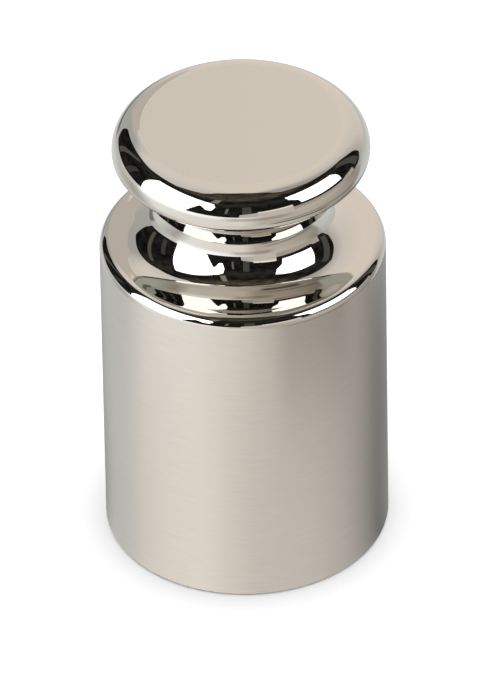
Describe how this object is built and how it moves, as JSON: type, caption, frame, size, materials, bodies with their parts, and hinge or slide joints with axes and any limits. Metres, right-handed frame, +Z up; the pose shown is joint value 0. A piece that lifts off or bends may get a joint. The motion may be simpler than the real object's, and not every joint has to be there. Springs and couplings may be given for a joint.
{
  "type": "calibration weight",
  "caption": "Knob-type calibration weight: a turned steel cylinder with a flat seat, a narrow neck and a flat round knob to lift it by.",
  "frame": {"origin": "centre of the seat, on the axis of the turning", "axes": "+Z up along the axis, from the seat to the knob; X and Y are free to turn about it"},
  "size_m": [0.028, 0.028, 0.0474],
  "materials": {
    "steel": "mirror polished, with a satin turned side"
  },
  "bodies": {
    "root": {"weight": "steel"}
  },
  "joints": []
}
